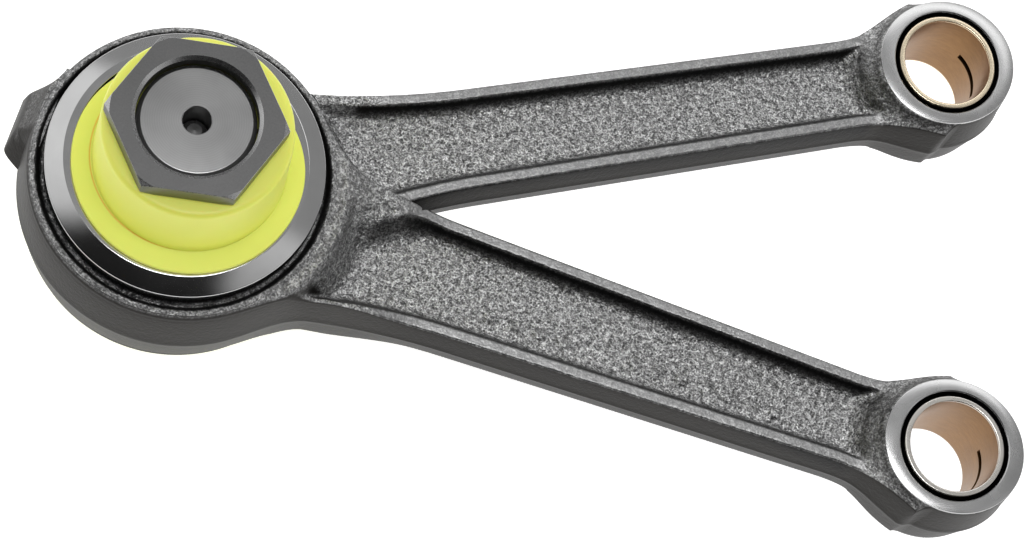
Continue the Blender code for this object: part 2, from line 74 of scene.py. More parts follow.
PIN_NECK = 12.35
PIN_END = 42.9
OIL_HOLE = 2.95
BUSH_BORE = 10.06
BUSH_OUTER = 11.95
BEAM_DRAFT = 0.86
BOSS_DRAFT = 1.2
BOSS_ALONG, BOSS_ACROSS = 15.9, 15.0

# Beam sides are given as (+Y side, -Y side).
FORK = dict(
    name="fork", eye_top=32.9, eye_mid=34.4, root=12.65, tip=10.5, flare=(0.4, 4.0), shift=-0.7,
    rise=3.6, eye_round=1.9, crotch=(10.0, 6.0),
)
BLADE = dict(
    name="blade", eye_top=29.4, eye_mid=29.4, root=11.25, tip=10.5, flare=(3.9, 3.9), shift=0.4,
    rise=0.0, eye_round=0.4, crotch=(2.0, 2.0),
)


# ---------- shapes ----------

def smooth_max(a, b, k):
    """The larger of two heights, with the corner between them filled over a width k."""
    h = np.clip(0.5 + 0.5 * (a - b) / k, 0.0, 1.0)
    return b + (a - b) * h + k * h * (1.0 - h)


def smooth_min(a, b, k):
    return -smooth_max(-a, -b, k)


def ease(t):
    """Smooth step: 3t^2 - 2t^3 between 0 and 1."""
    t = np.clip(t, 0.0, 1.0)
    return t * t * (3.0 - 2.0 * t)


def beam_sides(x, rod):
    """Distances of the two flange-top edges from the rod's axis.

    A straight taper, a squared flare into each end, and a root that leans to one side."""
    taper = rod["root"] + (rod["tip"] - rod["root"]) * (x - 60.0) / (CENTRES - 85.0)
    at_root = np.maximum(0.0, (65.0 - x) / 36.0) ** 2
    at_tip = 3.1 * np.maximum(0.0, (x - CENTRES + 24.0) / 15.6) ** 2
    share = np.clip((CENTRES - x) / 126.0, 0.0, 1.0)
    upper = taper + at_tip + rod["flare"][0] * at_root + (0.3 + rod["shift"]) * share
    lower = taper + at_tip + rod["flare"][1] * at_root + (0.3 - rod["shift"]) * share
    return upper, lower


def outline_distance(x, y, rod, grow):
    """Distance outside the plan outline, negative inside: big eye, beam and wrist boss blended together.

    grow runs from 0 at the flange top to 1 at the parting line and widens each by its draft."""
    radius = rod["eye_top"] + grow * (rod["eye_mid"] - rod["eye_top"])
    eye = np.hypot(x, y) - radius
    upper, lower = beam_sides(np.clip(x, 12.0, CENTRES - 4.0), rod)
    across = np.where(y > 0, y - upper, -y - lower) - BEAM_DRAFT * grow
    beam = np.maximum(across, np.maximum(14.0 - x, x - CENTRES + 5.0))
    along, wide = BOSS_ALONG - 0.2 + BOSS_DRAFT * grow, BOSS_ACROSS - 0.2 + BOSS_DRAFT * grow
    boss = (np.hypot((x - CENTRES) / along, y / wide) - 1.0) * wide
    crotch = np.where(y > 0, rod["crotch"][0], rod["crotch"][1])
    return smooth_min(smooth_min(eye, beam, crotch), boss, 6.0)


def plan_edge(x, rod, side):
    """Half width of the top outline at each x, found by halving the interval."""
    low, high = np.zeros_like(x), np.full_like(x, 45.0)
    for _ in range(36):
        mid = 0.5 * (low + high)
        inside = outline_distance(x, side * mid, rod, 0.0) < 0.0
        low, high = np.where(inside, mid, low), np.where(inside, high, mid)
    return 0.5 * (low + high)


def flange_height(x, rod):
    """Height of the beam's top, rising in an eased ramp into the big end."""
    return BEAM_HALF + rod["rise"] * ease((58.4 - x) / 20.0)


def slot_depth(x, y):
    """Distance inside the edge of the slot that lets the blade rod's arm through, seen from above."""
    least = REST - SWING_BACK
    along, across = x * math.cos(least) + y * math.sin(least), y * math.cos(least) - x * math.sin(least)
    return across + beam_sides(along, BLADE)[1] + SLOT_GAP


def pocket_surface(x, y, rod):
    """Web floor and the walls that lean away from it, joined by fillets.

    The fork's eye wall is round and steep, and a ramp in its upper corner clears the slot below."""
    upper, lower = beam_sides(x, rod)
    root = 1.8 * ease((56.0 - x) / 16.0) if rod["name"] == "fork" else 0.0
    side_wall = WEB_HALF + np.where(y > 0, y - upper + 4.1 + root, -y - lower + 4.1) * 2.4
    radius = np.hypot(x, y)
    reach = np.hypot(x - CENTRES, y)
    tip_wall = WEB_HALF + (21.0 - reach) * 1.5
    floor = np.full_like(x, WEB_HALF)
    if rod["name"] == "fork":
        eye_wall = WEB_HALF + (40.0 - radius) * 2.4
        depth = slot_depth(x, y)
        corner = ease((47.0 - radius) / 8.0)
        ramp = 9.0 + np.minimum(depth, 0.0) * 1.5 + np.clip(depth, 0.0, 6.0) * 0.85 * corner
        floor = smooth_max(floor, ramp, 2.4)
    else:
        eye_wall = WEB_HALF + (36.0 - radius) * 2.0
    walls = smooth_max(smooth_max(side_wall, eye_wall, 2.6), tip_wall, 3.0)
    return smooth_max(walls, floor, 3.4)


def forging_marks(x, y):
    """Raised pips on the fork's web: filled discs, squares and diamonds in two rows that spell nothing."""
    out = np.full_like(x, 9.0)
    for start, pitch, row, kinds in ((72.0, 5.6, -4.4, "osod"), (105.0, 5.4, -3.6, "dosdods")):
        for k, kind in enumerate(kinds):
            u, v = np.abs(x - start - pitch * k), np.abs(y - row)
            disc = np.hypot(u, v) - 1.35
            square = np.maximum(u, v) - 1.15
            diamond = (u + v - 1.75) * 0.7
            out = np.minimum(out, {"o": disc, "s": square, "d": diamond}[kind])
    return 0.62 * ease((0.22 - out) / 0.42)


def crest_line(radius):
    """Height of the rim beside the groove, by radius: a rounded bead on a flat plateau."""
    return 14.1 + 0.65 * np.exp(-(((radius - 31.2) / 0.95) ** 2))


def crest(x, y):
    """The fork's big-end top: a groove beside the thrust ring, a rounded rim, then the fall to the beam."""
    radius = np.hypot(x, y)
    rim = crest_line(radius) - 2.5 * ease((31.7 - radius) / 0.9)
    slope = 0.45 + 0.85 * ease((5.0 - y) / 12.0)
    return rim - np.maximum(0.0, radius - 34.7) * slope


def top_height(x, y, rod, marked):
    """Height of a forging's upper skin over its plan: beam, pocket, big-end crest and wrist boss."""
    radius = np.hypot(x, y)
    fork = rod["name"] == "fork"
    top = flange_height(x, rod)
    if fork:
        top = smooth_max(crest(x, y), top, 2.0)
        top = np.where(radius < 31.8, crest(x, y), top)
    web = pocket_surface(x, y, rod)
    if marked:
        web = web + forging_marks(x, y)
    skin = smooth_min(top, web, 0.9)
    if fork:
        skin = np.where(radius < 33.6, top, skin)
    else:
        eye = 8.0 - np.maximum(0.0, radius - 29.2) * 1.6
        skin = np.where(radius < 29.2, 8.0, np.maximum(eye, skin))
    reach = np.hypot((x - CENTRES) / BOSS_ALONG, y / BOSS_ACROSS) * 15.6
    boss = BOSS_HALF + 0.5 - (reach - 15.0) * 1.6
    skin = np.where(x > CENTRES - 44.0, smooth_max(skin, boss, 4.0), skin)
    skin = np.where(x > CENTRES - 44.0, np.minimum(skin, BOSS_HALF - 0.25), skin)
    bend = 0.75 + (rod["eye_round"] - 0.75) * ease((44.0 - radius) / 10.0)
    if fork and not marked:
        bend = bend + 1.1 * ease((37.0 - radius) / 3.0)
    bend = np.where(x > CENTRES - 16.0, 0.3, bend)
    inside = np.clip(-outline_distance(x, y, rod, 0.0), 0.0, None)
    part = np.clip(1.0 - inside / bend, 0.0, 1.0)
    return skin - bend * (1.0 - np.sqrt(np.clip(1.0 - part * part, 0.0, 1.0)))


def closed_mesh(name, grids):
    """One closed mesh from grids of points.

    Shared points are made one, collapsed faces are dropped and the faces are turned out."""
    points, faces, start = [], [], 0
    for grid in grids:
        rows, cols = grid.shape[:2]
        index = np.arange(rows * cols).reshape(rows, cols) + start
        quads = np.stack([index[:-1, :-1], index[:-1, 1:], index[1:, 1:], index[1:, :-1]], -1)
        points.append(grid.reshape(-1, 3))
        faces.append(quads.reshape(-1, 4))
        start += rows * cols
    points, faces = np.concatenate(points), np.concatenate(faces)
    _, first, index = np.unique(
        np.round(points * 2000.0).astype(np.int64), axis=0, return_index=True, return_inverse=True
    )
    points, faces = points[first], index.reshape(-1)[faces]
    same = [faces[:, k] == faces[:, (k + 1) % 4] for k in range(4)]
    count = np.sum(same, axis=0)
    full = faces[(count == 0) & (faces[:, 0] != faces[:, 2]) & (faces[:, 1] != faces[:, 3])]
    single = []
    for k in range(4):
        chosen = faces[(count == 1) & same[k]]
        single.append(np.delete(chosen, k, axis=1))
    single = np.concatenate(single)
    corners = np.concatenate([full[:, [0, 1, 2]], full[:, [0, 2, 3]], single])
    a, b, c = points[corners[:, 0]], points[corners[:, 1]], points[corners[:, 2]]
    if np.einsum("ij,ij->i", a, np.cross(b, c)).sum() < 0:
        full, single = full[:, ::-1], single[:, ::-1]
    mesh = bpy.data.meshes.new(name)
    mesh.from_pydata((points * MM).tolist(), [], full.tolist() + single.tolist())
    mesh.update()
    return mesh


def shown(name, mesh, sharp=35.0, turn=0.0):
    """An object at the origin with its place in its mesh, shaded smooth except at sharp edges."""
    if turn:
        mesh.transform(Matrix.Rotation(turn, 4, "Z"))
    mesh.shade_smooth()
    mesh.set_sharp_from_angle(angle=math.radians(sharp))
    made = bpy.data.objects.new(name, mesh)
    bpy.context.scene.collection.objects.link(made)
    return made


def cut(mesh, cutters):
    """The mesh with closed cutters taken away from it."""
    body = bpy.data.objects.new("blank", mesh)
    bpy.context.scene.collection.objects.link(body)
    tools = []
    for cutter in cutters:
        tool = bpy.data.objects.new("tool", cutter)
        bpy.context.scene.collection.objects.link(tool)
        step = body.modifiers.new("cut", "BOOLEAN")
        step.operation = "DIFFERENCE"
        step.solver = "MANIFOLD"
        step.object = tool
        tools.append(tool)
    bpy.context.view_layer.update()
    seen = body.evaluated_get(bpy.context.evaluated_depsgraph_get())
    made = bpy.data.meshes.new_from_object(seen)
    made.name = mesh.name
    for item in tools + [body]:
        bpy.data.objects.remove(item, do_unlink=True)
    return made


def turned_grid(profile, steps, x=0.0):
    """A profile of (radius, height) carried round Z."""
    profile = np.array(profile, float)
    angle = np.linspace(0.0, 2 * math.pi, steps + 1)
    angle[-1] = 0.0
    radius, height = profile[:, 0][:, None], profile[:, 1][:, None]
    return np.stack(
        [x + radius * np.cos(angle), radius * np.sin(angle), height + 0.0 * angle], -1
    )


def softened(profile, sizes, parts=5):
    """A profile with each corner replaced by an arc of the given size."""
    out = []
    count = len(profile)
    for k, (point, size) in enumerate(zip(profile, sizes)):
        here = np.array(point, float)
        if size <= 0 or k in (0, count - 1):
            out.append(here)
            continue
        before, after = np.array(profile[k - 1], float), np.array(profile[k + 1], float)
        back = (before - here) / np.linalg.norm(before - here)
        on = (after - here) / np.linalg.norm(after - here)
        first, last = here + back * size, here + on * size
        for t in np.linspace(0.0, 1.0, parts + 1):
            out.append((1 - t) ** 2 * first + 2 * t * (1 - t) * here + t * t * last)
    return out


def turned(name, profile, sizes, steps=160, x=0.0):
    """A turned piece. The profile is closed back to its start unless both ends are on the axis."""
    line = softened(profile, sizes)
    if line[0][0] > 1e-6:
        line = line + [line[0]]
    return closed_mesh(name, [turned_grid(line, steps, x)])


def spaced(rod):
    """Stations along the rod, close together round both ends and wherever the skin bends."""
    right = CENTRES + BOSS_ALONG
    eye = -rod["eye_top"] * np.cos(np.linspace(0.0, math.radians(62), 44))
    near = np.arange(eye[-1] + 0.5, 64.0, 0.55)
    middle = np.arange(64.0, 146.0, 0.62 if rod["name"] == "fork" else 1.1)
    far = np.arange(146.0, right - 6.0, 0.5)
    tip = right - 6.0 * (1.0 - np.sin(np.linspace(0.04, math.pi / 2, 22)))
    return np.concatenate([eye, near, middle, far, tip])


def forging(name, rod, marked):
    """A forging's closed skin: height fields above and below the plan, and drafted sides between.

    Across each station the points crowd towards both edges as a sine. The sides bulge a little from
    the rounded flange edge out to the parting line, which stands 0.16 mm proud, and back."""
    x = spaced(rod)
    upper, lower = plan_edge(x, rod, 1.0), plan_edge(x, rod, -1.0)
    upper[0] = lower[0] = upper[-1] = lower[-1] = 0.0
    s = np.sin(np.linspace(-math.pi / 2, math.pi / 2, 121))
    y = np.where(s[None, :] > 0, s[None, :] * upper[:, None], s[None, :] * lower[:, None])
    xs = np.repeat(x[:, None], y.shape[1], 1)
    top = np.stack([xs, y, top_height(xs, y, rod, marked)], -1)
    plain = np.stack([xs, y, -top_height(xs, y, rod, False)], -1)
    grids = [top, plain[:, ::-1]]
    step = 0.01
    for column in (0, -1):
        edge, base = top[:, column], plain[:, column]
        px, py = edge[:, 0], edge[:, 1]
        gx = outline_distance(px + step, py, rod, 0.0) - outline_distance(px - step, py, rod, 0.0)
        gy = outline_distance(px, py + step, rod, 0.0) - outline_distance(px, py - step, rod, 0.0)
        gy[0] = gy[-1] = 0.0
        size = np.hypot(gx, gy)
        nx, ny = gx / size, gy / size
        spread = -outline_distance(px, py, rod, 1.0) * 1.02
        share = np.array([0, .04, .1, .2, .34, .5, .66, .8, .9, .96, 1.0])
        bulge = np.array([0, .08, .15, .26, .42, .58, .74, .87, .95, .985, 1.0])
        ridge = np.array([0, 0, 0, 0, 0, 0, 0, 0, .05, .12, .16])
        out = bulge[None, :] * spread[:, None] + ridge[None, :]
        sx, sy = px[:, None] + nx[:, None] * out, py[:, None] + ny[:, None] * out
        high = edge[:, 2][:, None] * (1.0 - share[None, :])
        deep = base[:, 2][:, None] * (1.0 - share[None, :])
        high, deep = np.stack([sx, sy, high], -1), np.stack([sx, sy, deep], -1)
        grids.append(high[:, ::-1] if column == 0 else high)
        grids.append(deep if column == 0 else deep[:, ::-1])
    return closed_mesh(name, grids)


def slot_tool():
    """The slot's plan carried straight through its height: the eye's circle, opened to the free side."""
    least = REST - SWING_BACK
    x = np.linspace(95.0, 22.0, 60)
    y = -beam_sides(x, BLADE)[1] - SLOT_GAP
    keep = np.hypot(x, y) > SLOT_RADIUS + 0.5
    x, y = x[keep], y[keep]
    c, s = math.cos(least), math.sin(least)
    edge = np.stack([x * c - y * s, x * s + y * c], -1)
    start = math.atan2(edge[-1, 1], edge[-1, 0]) - math.radians(1.5)
    angle = np.linspace(start, math.radians(165.0 - 360.0), 90)
    arc = SLOT_RADIUS * np.stack([np.cos(angle), np.sin(angle)], -1)
    away = arc[-1:] + 85.0 * np.array([[math.cos(math.radians(75)), math.sin(math.radians(75))]])
    plan = np.concatenate([edge, arc, away, edge[:1]])
    centre = np.zeros_like(plan) + np.array([2.0, 12.0])
    rows = [
        np.column_stack([centre, np.full(len(plan), SLOT_HALF)]),
        np.column_stack([plan, np.full(len(plan), SLOT_HALF)]),
        np.column_stack([plan, np.full(len(plan), -SLOT_HALF)]),
        np.column_stack([centre, np.full(len(plan), -SLOT_HALF)]),
    ]
    return closed_mesh("slot_tool", [np.array(rows)])


def crest_ring(name):
    """The groove beside the thrust ring and the rim's inner flank, turned: an eased fall from the bead."""
    radius = np.linspace(29.35, 32.3, 30)
    height = crest_line(radius) - 2.0 * ease((31.6 - radius) / 1.9) + 0.02
    line = [(29.35, 11.0)] + list(zip(radius, height)) + [(32.3, 13.4), (31.8, 11.0), (29.35, 11.0)]
    return closed_mesh(name, [turned_grid(line, 220)])


def bore_tool(radius, half, chamfer, x=0.0):
    profile = [(0, half + 3), (radius + chamfer + 3, half + 3), (radius, half - chamfer),
               (radius, chamfer - half), (radius + chamfer + 3, -half - 3), (0, -half - 3)]
    return closed_mesh("bore_tool", [turned_grid(profile, 160, x)])


def straight_tool(radius, half):
    profile = [(0, half), (radius, half), (radius, -half), (0, -half)]
    return closed_mesh("bore_tool", [turned_grid(profile, 180)])


def block_tool(low, high):
    (a, b, c), (d, e, f) = low, high
    ring = np.array([[a, b], [d, b], [d, e], [a, e], [a, b]], float)
    mid = np.zeros_like(ring) + ring[:4].mean(0)
    rows = [np.column_stack([p, np.full(5, z)]) for p, z in ((mid, f), (ring, f), (ring, c), (mid, c))]
    return closed_mesh("block_tool", [np.array(rows, float)])


def balance_pad():
    """A forged nose on the fork's back: squared ovals (power 6) stacked along Z.

    Its reach falls from the parting line to the shoulder, then slopes back under the crest."""
    z = 13.4 * np.sin(np.linspace(-math.pi / 2, math.pi / 2, 61))
    high = np.abs(z)
    reach = smooth_min(38.1 - 0.2 * high, 36.9 - (high - 6.0) * 0.58, 0.8)
    low = -4.6 + 0.42 * np.minimum(high, 7.0)
    up = 8.6 - 0.12 * np.minimum(high, 7.0)
    loops = []
    for h, r, a, b in zip(z, reach, low, up):
        mid, half = 0.5 * (a + b), 0.5 * (b - a)
        v = np.linspace(-1.0, 1.0, 61)
        out = np.clip(1.0 - np.maximum(0.0, np.abs(v) * (half + 5.2) - half + 0.9) / 6.1, 0.0, 1.0)
        x = -30.6 - (r - 30.6) * ease(out) ** 0.8
        y = mid + v * (half + 5.2)
        loops.append(np.stack([np.concatenate([x, [-30.0, -30.0, x[0]]]),
                               np.concatenate([y, [y[-1], y[0], y[0]]]), np.full(64, h)], -1))
    grid = np.array(loops)
    blank = np.zeros_like(grid[:1])
    first, last = blank + grid[:1].mean(1, keepdims=True), blank + grid[-1:].mean(1, keepdims=True)
    return closed_mesh("fork_balance_pad", [np.concatenate([first, grid, last])])


def boss_body(name):
    """The bored oval boss round a wrist pin, drafted both ways from a faint parting ridge."""
    angle = np.linspace(0.0, 2 * math.pi, 161)
    angle[-1] = 0.0
    z = np.concatenate([[-11.5, -11.3], np.linspace(-10.6, 10.6, 25), [11.3, 11.5]])
    grow = 1.34 * (1.0 - np.abs(z) / BOSS_HALF) + 0.12 * np.exp(-((z / 0.5) ** 2)) - 0.06
    edge_break = np.array([0.25, 0.05] + [0.0] * 25 + [0.05, 0.25])
    rows = []
    for g, h in zip(grow - edge_break, z):
        rows.append([(BOSS_ALONG + g) * np.cos(angle), (BOSS_ACROSS + g) * np.sin(angle), h + 0 * angle])
    rows += [[12.35 * np.cos(angle), 12.35 * np.sin(angle), h + 0 * angle] for h in (11.5, -11.5)]
    rows.append(rows[0])
    grid = np.array([np.stack([x + CENTRES, y, h], -1) for x, y, h in rows])
    return closed_mesh(name, [grid])


def boss_face(name):
    """The turned oval face round a wrist bore: a thin oval plate with a crisp, slightly eased rim."""
    angle = np.linspace(0.0, 2 * math.pi, 201)
    angle[-1] = 0.0
    rows = []
    for inset, z in ((0.1, 11.0), (0.1, 11.78), (0.14, 11.86), (0.22, 11.9)):
        along, across = BOSS_ALONG - inset, BOSS_ACROSS - inset
        rows.append([along * np.cos(angle), across * np.sin(angle), z + 0 * angle])
    for radius, z in ((12.55, 11.9), (12.35, 11.75), (12.33, 11.0)):
        rows.append([radius * np.cos(angle), radius * np.sin(angle), z + 0 * angle])
    rows.append(rows[0])
    grid = np.array([np.stack([x + CENTRES, y, z], -1) for x, y, z in rows])
    return closed_mesh(name, [grid])


def thrust_ring(flip):
    """The ground ring round the fork's bore: a flat face, a broad cone and a short upright wall."""
    line = [(23.85, 13.0), (23.85, 20.0), (25.6, 20.0), (29.4, 18.0), (29.5, 15.2), (29.5, 13.0)]
    return turned("thrust_ring", [(r, z * flip) for r, z in line], [0, 0.15, 0.12, 0.2, 0.2, 0], 200)


def cap_shell(flip):
    """A flanged plastic hub that sits a little to one side, its flange flattened on the +Y side."""
    line = [
        (CAP_BORE, CAP_BASE), (CAP_FLANGE, CAP_BASE), (CAP_FLANGE, CAP_FLANGE_TOP), (CAP_FOOT, CAP_FLANGE_TOP),
        (19.7, CAP_TOP), (CAP_MOUTH, CAP_TOP), (CAP_MOUTH, 38.9), (CAP_BORE, 20.9),
    ]
    mesh = turned("cap", [(r, z * flip) for r, z in line], [0, 0.1, 0.3, 0.3, 1.5, 0.2, 0, 0], 200)
    for point in mesh.vertices:
        if math.hypot(point.co.x, point.co.y) > 22.0 * MM:
            point.co.y = point.co.y * (CAP_FLATTENED if point.co.y > 0 else 1.0) - CAP_SHIFT * MM
        point.co.x += CAP_SHIFT * MM
    return mesh


def pin_body():
    """The crank pin: a straight track between two tapers, plain ends, and an oil hole in the upper end."""
    line = [
        (0, 29.0), (OIL_HOLE, 29.0), (OIL_HOLE, 42.75), (3.1, PIN_END), (11.35, PIN_END), (PIN_NECK, 41.9),
        (PIN_NECK, 38.8), (15.3, 20.5), (PIN_TRACK, 20.0), (PIN_TRACK, -20.0), (15.3, -20.5),
        (PIN_NECK, -38.8), (PIN_NECK, -41.9), (11.35, -PIN_END), (0, -PIN_END),
    ]
    return turned("crank_pin_body", line, [0, 0, 0, 0, 0.15, 0.2] + [0.1] * 9, 160)


def bush_body():
    """A wrist bush: a bored sleeve with eased rims and an oil slot cut through its outer side."""
    line = [
        (BUSH_BORE, 0), (BUSH_BORE, BOSS_HALF), (11.1, BOSS_HALF), (BUSH_OUTER, 10.7),
        (BUSH_OUTER, -10.7), (11.1, -BOSS_HALF), (BUSH_BORE, -BOSS_HALF), (BUSH_BORE, 0),
    ]
    line = softened(line, [0, 0.28, 0.15, 0.2, 0.2, 0.15, 0.28, 0])
    mesh = closed_mesh("bush", [turned_grid(line, 160, CENTRES)])
    return cut(mesh, [block_tool((CENTRES + 8, -5.2, -0.9), (CENTRES + 14, 5.2, 0.9))])


def hexagon_nut(name):
    """A ring whose outer wall is a hexagon, both rims cut back by a 25 degree cone, bored and chamfered."""
    turn = np.linspace(0.0, 2 * math.pi, 6 * 40 + 1)
    local = (turn + math.pi / 6) % (math.pi / 3) - math.pi / 6
    outer = NUT_CORNER * math.cos(math.pi / 6) / np.cos(math.pi / 6 - np.abs(local))
    angle = turn + NUT_TURN
    face = NUT_CORNER * 0.94
    fall = np.maximum(0.0, outer - face) * math.tan(NUT_CUT)
    bore, mouth = NUT_BORE, NUT_MOUTH
    rows = []
    base, top = NUT_BASE, NUT_TOP
    flat = np.minimum(face, outer - 0.05)
    even = np.ones_like(turn)
    rows.append((bore * even, base + 0.6 + 0 * turn))
    rows.append((bore * even, top - 0.65 + 0 * turn))
    rows.append((mouth * even, top - 0.06 + 0 * turn))
    rows.append(((mouth + 0.08) * even, top + 0 * turn))
    for t in np.linspace(0.25, 1.0, 4):
        rows.append((mouth + 0.08 + (flat - mouth - 0.08) * t, top + 0 * turn))
    for t in np.linspace(0.2, 1.0, 5):
        rows.append((flat + (outer - 0.05 - flat) * t, top - fall * t))
    rows.append((outer, top - fall - 0.06))
    rows.append((outer, base + fall + 0.06))
    for t in np.linspace(0.0, 1.0, 6):
        rows.append((outer - 0.05 + (flat - outer + 0.05) * t, base + fall * (1 - t)))
    rows.append(((mouth + 0.08) * even, base + 0 * turn))
    rows.append((bore * even, base + 0.6 + 0 * turn))
    grid = np.array([np.stack([r * np.cos(angle), r * np.sin(angle), z], -1) for r, z in rows])
    grid[:, -1] = grid[:, 0]
    return closed_mesh(name, [grid])


# ---------- materials ----------

class Socket:
    """A shader value; the usual operators add Math nodes."""

    def __init__(self, paint, socket):
        self.paint, self.socket = paint, socket

    def _op(self, kind, a, b=None):
        values = {0: a} if b is None else {0: a, 1: b}
        return self.paint.node("ShaderNodeMath", {"operation": kind}, values)[0]

    def __add__(self, other):
        return self._op("ADD", self, other)

    __radd__ = __add__

    def __mul__(self, other):
        return self._op("MULTIPLY", self, other)

    __rmul__ = __mul__

    def __sub__(self, other):
        return self._op("SUBTRACT", self, other)

    def __rsub__(self, other):
        return self._op("SUBTRACT", other, self)

    def size(self):
        return self._op("ABSOLUTE", self)

    def root(self):
        return self._op("SQRT", self)

    def wave(self):
        return self._op("SINE", self)


class Paint:
    """One Principled material and the nodes that feed it."""

    def __init__(self, name, base, metallic, rough, **constants):
        self.material = bpy.data.materials.new(name)
        self.material.use_nodes = True
        self.tree = self.material.node_tree
        self.shader = self.tree.nodes["Principled BSDF"]
        self.set("Base Color", (*base, 1.0))
        self.set("Metallic", metallic)
        self.set("Roughness", rough)
        for key, value in constants.items():
            self.set(key.replace("_", " "), value)
        self.at = self.node("ShaderNodeTexCoord", {}, {})["Object"]
        xyz = self.node("ShaderNodeSeparateXYZ", {}, {0: self.at})
        self.x, self.y, self.z = xyz["X"] * 1000.0, xyz["Y"] * 1000.0, xyz["Z"] * 1000.0

    def node(self, kind, settings, values):
        made = self.tree.nodes.new(kind)
        for key, value in settings.items():
            if key == "stops":
                ramp = made.color_ramp
                while len(ramp.elements) < len(value):
                    ramp.elements.new(0.5)
                for element, (spot, colour) in zip(ramp.elements, value):
                    element.position = spot
                    element.color = colour if len(colour) == 4 else (*colour, 1.0)
            else:
                setattr(made, key, value)
        for key, value in values.items():
            if isinstance(value, Socket):
                self.tree.links.new(value.socket, made.inputs[key])
            else:
                made.inputs[key].default_value = value
        outs = [s for s in made.outputs if s.enabled]
        found = {s.name: Socket(self, s) for s in outs}
        found.update({i: Socket(self, s) for i, s in enumerate(outs)})
        return found

    def set(self, key, value):
        if isinstance(value, Socket):
            self.tree.links.new(value.socket, self.shader.inputs[key])
        else:
            self.shader.inputs[key].default_value = value

    def noise(self, scale, detail=2.0, rough=0.5, stretch=(1, 1, 1)):
        spot = self.node("ShaderNodeMapping", {}, {"Vector": self.at, "Scale": stretch})[0]
        values = {"Vector": spot, "Scale": scale, "Detail": detail, "Roughness": rough}
        return self.node("ShaderNodeTexNoise", {}, values)[0]

    def between(self, value, low, high):
        """0 below low, 1 above high, eased between."""
        settings = {"interpolation_type": "SMOOTHSTEP"}
        return self.node("ShaderNodeMapRange", settings, {0: value, 1: low, 2: high, 3: 0.0, 4: 1.0})[0]

    def mix(self, share, a, b):
        a = a if isinstance(a, Socket) else (*a, 1.0)
        b = b if isinstance(b, Socket) else (*b, 1.0)
        return self.node("ShaderNodeMix", {"data_type": "RGBA"}, {0: share, 6: a, 7: b})[0]

    def ramp(self, value, stops):
        return self.node("ShaderNodeValToRGB", {"stops": stops}, {0: value})[0]

    def bump(self, height, distance, strength=1.0, under=None):
        values = {"Strength": strength, "Distance": distance * MM, "Height": height}
        if under is not None:
            values["Normal"] = under
        return self.node("ShaderNodeBump", {}, values)[0]

    def steepness(self):
        """1 on faces that look up or down, 0 on upright sides."""
        normal = self.node("ShaderNodeNewGeometry", {}, {})["Normal"]
        return self.node("ShaderNodeSeparateXYZ", {}, {0: normal})["Z"].size()

    def from_axis(self, x=0.0, y=0.0):
        """Distance in millimetres from an upright axis."""
        dx, dy = self.x - x, self.y - y
        return (dx * dx + dy * dy).root()


def grey(value, tint=0.0):
    return (value * (1 + tint), value, value * (1 - tint))


def forged_steel(name, turn, blade):
    """Shot-blasted forging: bright speckle on the webs, duller on the crest, satin flange tops, smoother
    brown-grey sides, and pocket walls painted near black as painted shade."""
    paint = Paint(name, grey(0.30), 1.0, 0.4)
    c, s = math.cos(turn), math.sin(turn)
    along, across = paint.x * c + paint.y * s, paint.y * c - paint.x * s
    high = paint.z.size()
    flat = paint.between(paint.steepness(), 0.40, 0.80)
    wall = paint.between(paint.from_axis(), 43.0, 40.0) * paint.between(along, 30.0, 32.0)
    flat = flat + (1.0 - flat) * wall * paint.between(across.size(), 14.6, 13.0) * 0.8
    grain = paint.noise(2300.0, 2.0, 0.6)
    coarse = paint.noise(950.0, 2.0, 0.5)
    patch = paint.noise(60.0, 3.0, 0.55)
    beam = paint.between(along, 42.0, 50.0) * paint.between(along, CENTRES - 12.0, CENTRES - 20.0)
    satin = beam * paint.between(high, 5.6, 6.6) * flat
    raised = paint.between(high, 9.5, 12.0)
    # Painted shade: this mask picks the upright walls inside the beam's pockets, which are painted near black
    # below.
    inner = paint.between(across.size(), 11.8, 10.6) * paint.between(along, 40.0, 44.0)
    inner = inner * paint.between(along, CENTRES - 18.0, CENTRES - 22.0) * (1.0 - flat)
    stops = [(0.38, grey(0.12)), (0.5, grey(0.38)), (0.62, grey(1.0))]
    speckle = paint.ramp(grain * 0.6 + coarse * 0.4, stops)
    tone = paint.mix(raised * 0.45, speckle, grey(0.17))
    tone = paint.mix(satin * 0.8, tone, grey(0.27))
    side = paint.mix(patch, grey(0.020, 0.06), grey(0.036, 0.06))
    # Painted shade: a near-black colour on the pocket walls.
    side = paint.mix(inner, side, grey(0.012))
    colour = paint.mix(flat, side, tone)
    smooth = satin
    if blade:
        machined = paint.between(paint.from_axis(), 35.2, 34.9) * paint.between(high, 6.85, 6.95)
        colour = paint.mix(machined, colour, grey(0.34))
        smooth = paint.node("ShaderNodeMath", {"operation": "MAXIMUM"}, {0: satin, 1: machined})[0]
    paint.set("Base Color", colour)
    paint.set("Roughness", 0.34 + patch * 0.10 + (1.0 - flat) * 0.12 - smooth * 0.02)
    strength = (0.12 + flat * 0.88) * (1.0 - smooth * 0.72) * (1.0 - raised * 0.15)
    relief = paint.bump(grain * strength, 0.42, 1.0)
    relief = paint.bump(coarse * strength, 0.62, 1.0, relief)
    paint.set("Normal", relief)
    return paint.material


